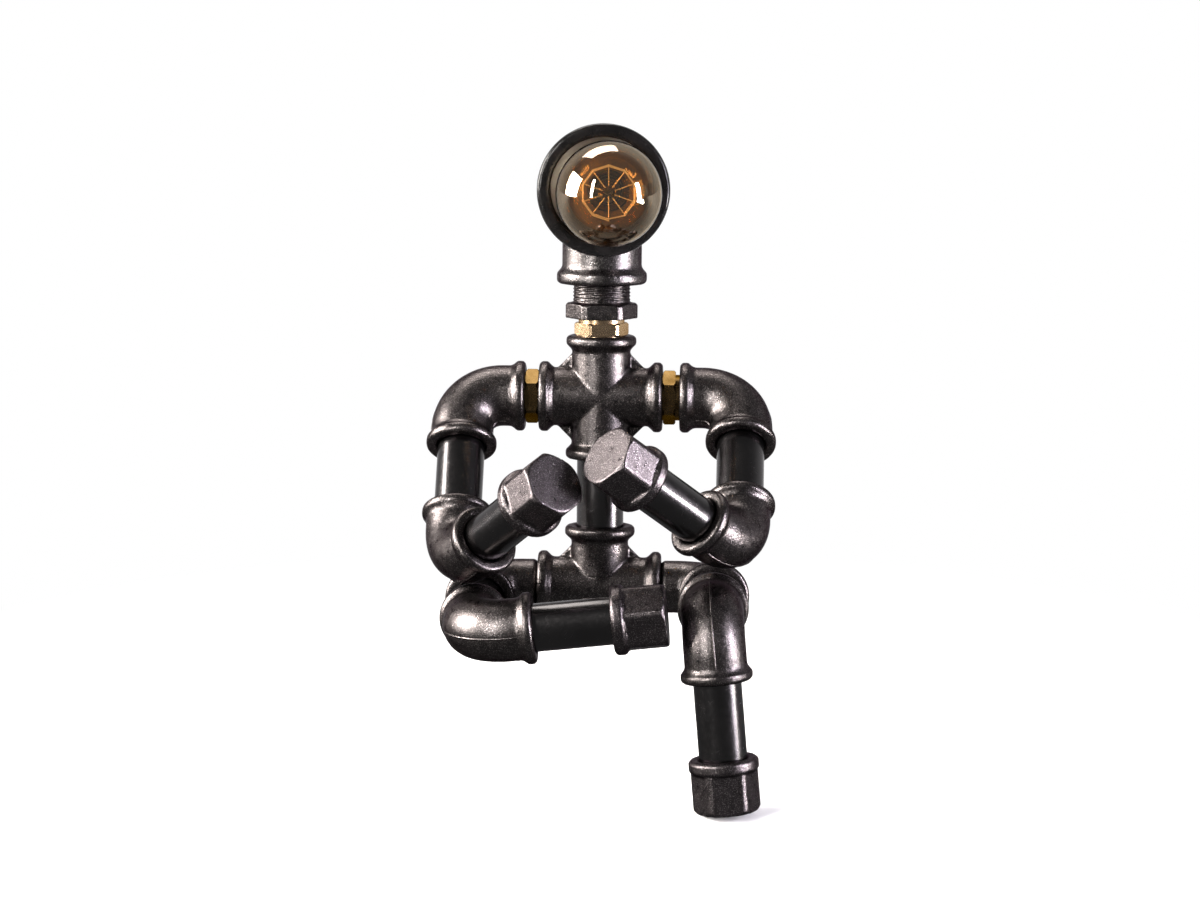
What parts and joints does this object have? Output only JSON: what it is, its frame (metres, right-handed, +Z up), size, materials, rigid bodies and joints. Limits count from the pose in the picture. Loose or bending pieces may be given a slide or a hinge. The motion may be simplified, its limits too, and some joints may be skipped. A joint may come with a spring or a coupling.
{
  "type": "robot shaped desk lamp",
  "caption": "Desk lamp shaped as a seated robot made of threaded pipe fittings, with a round bulb in a turned elbow as its head and legs that hang over an edge.",
  "frame": {"origin": "on the seat plane, under the middle of the pelvis tee", "axes": "-Y is the front of the figure, +X is to the right of someone who looks at the front, +Z is up"},
  "size_m": [0.1578, 0.158, 0.2951],
  "materials": {
    "cast_iron_black": "satin, slightly rough casting skin",
    "cast_iron_grey": "rough, worn casting skin",
    "head_iron": "gloss black",
    "pipe_steel": "gloss black lacquer over steel",
    "brass": "machined",
    "porcelain": "glazed",
    "zinc_steel": "zinc plated",
    "amber_glass": "smoky amber, half mirrored",
    "clear_glass": "clear",
    "cap_metal": "pressed",
    "contact_metal": "solder",
    "dark_ceramic": "glassy",
    "filament_wire": "glowing copper gold",
    "lead_plastic": "cloth covered",
    "sleeve_plastic": "moulded",
    "seal_rubber": "matte"
  },
  "bodies": {
    "torso": {"chest_cross": "cast_iron_black", "gland_body": "brass", "gland_nut": "brass", "gland_seal": "seal_rubber", "gland_washer": "zinc_steel", "neck_hex_nipple": "brass", "neck_sleeve": "sleeve_plastic", "pelvis_tee": "cast_iron_black", "shoulder_hex_nipple_left": "brass", "shoulder_hex_nipple_right": "brass", "torso_lead": "lead_plastic", "torso_nipple": "pipe_steel", "wire_connector": "sleeve_plastic"},
    "head": {"head_elbow": "head_iron", "head_lead": "lead_plastic", "holder_body": "porcelain", "holder_plate": "zinc_steel", "holder_screws": "zinc_steel", "holder_shell": "brass", "holder_tongue": "brass", "neck_bushing": "cast_iron_black"},
    "bulb": {"bulb_cap": "cap_metal", "bulb_contact": "contact_metal", "bulb_globe": "amber_glass", "bulb_insulator": "dark_ceramic", "bulb_stem": "clear_glass", "filament": "filament_wire", "filament_supports": "filament_wire"},
    "upper_arm_left": {"shoulder_elbow_left": "cast_iron_black", "upper_arm_nipple_left": "pipe_steel"},
    "forearm_left": {"arm_elbow_left": "cast_iron_black", "forearm_nipple_left": "pipe_steel", "hand_cap_left": "cast_iron_grey"},
    "upper_arm_right": {"shoulder_elbow_right": "cast_iron_black", "upper_arm_nipple_right": "pipe_steel"},
    "forearm_right": {"arm_elbow_right": "cast_iron_black", "forearm_nipple_right": "pipe_steel", "hand_cap_right": "cast_iron_grey"},
    "thigh_left": {"hip_elbow_left": "cast_iron_black", "thigh_nipple_left": "pipe_steel"},
    "shin_left": {"foot_cap_left": "cast_iron_grey", "knee_elbow_left": "cast_iron_black", "shin_nipple_left": "pipe_steel"},
    "thigh_right": {"hip_elbow_right": "cast_iron_black", "thigh_nipple_right": "pipe_steel"},
    "shin_right": {"foot_cap_right": "cast_iron_grey", "knee_elbow_right": "cast_iron_black", "shin_nipple_right": "pipe_steel"}
  },
  "joints": [
    {"name": "neck_turn", "type": "hinge", "parent": "torso", "child": "head", "pos_m": [0, 0.00772, 0.10236], "axis": [0, 0.0889, 0.996], "range_deg": [-100, 80]},
    {"name": "shoulder_left", "type": "hinge", "parent": "torso", "child": "upper_arm_left", "pos_m": [-0.0622, 0.00772, 0.10236], "axis": [-1, 0, 0], "range_deg": [0, 36]},
    {"name": "elbow_left", "type": "hinge", "parent": "upper_arm_left", "child": "forearm_left", "pos_m": [-0.0622, -0.05208, 0.03779], "axis": [0, -0.6794, -0.7337], "range_deg": [0, 100]},
    {"name": "shoulder_right", "type": "hinge", "parent": "torso", "child": "upper_arm_right", "pos_m": [0.0638, 0.00772, 0.10236], "axis": [-1, 0, 0], "range_deg": [0, 36]},
    {"name": "elbow_right", "type": "hinge", "parent": "upper_arm_right", "child": "forearm_right", "pos_m": [0.0638, -0.06125, 0.0477], "axis": [0, 0.7837, 0.6211], "range_deg": [0, 100]},
    {"name": "hip_left", "type": "hinge", "parent": "torso", "child": "thigh_left", "pos_m": [-0.0527, 0, 0.0159], "axis": [1, 0, 0], "range_deg": [0, 90]},
    {"name": "knee_left", "type": "hinge", "parent": "thigh_left", "child": "shin_left", "pos_m": [-0.0527, -0.08378, 0.01414], "axis": [0, 0.9998, 0.0209], "range_deg": [0, 95]},
    {"name": "hip_right", "type": "hinge", "parent": "torso", "child": "thigh_right", "pos_m": [0.0527, 0, 0.0159], "axis": [1, 0, 0], "range_deg": [0, 85]},
    {"name": "knee_right", "type": "hinge", "parent": "thigh_right", "child": "shin_right", "pos_m": [0.0527, -0.08351, 0.02291], "axis": [0, -0.9965, 0.0837], "range_deg": [0, 85]},
    {"name": "bulb_out", "type": "slide", "parent": "head", "child": "bulb", "axis": [0.0506, -0.9948, 0.0888], "range_m": [0, 0.022]}
  ]
}
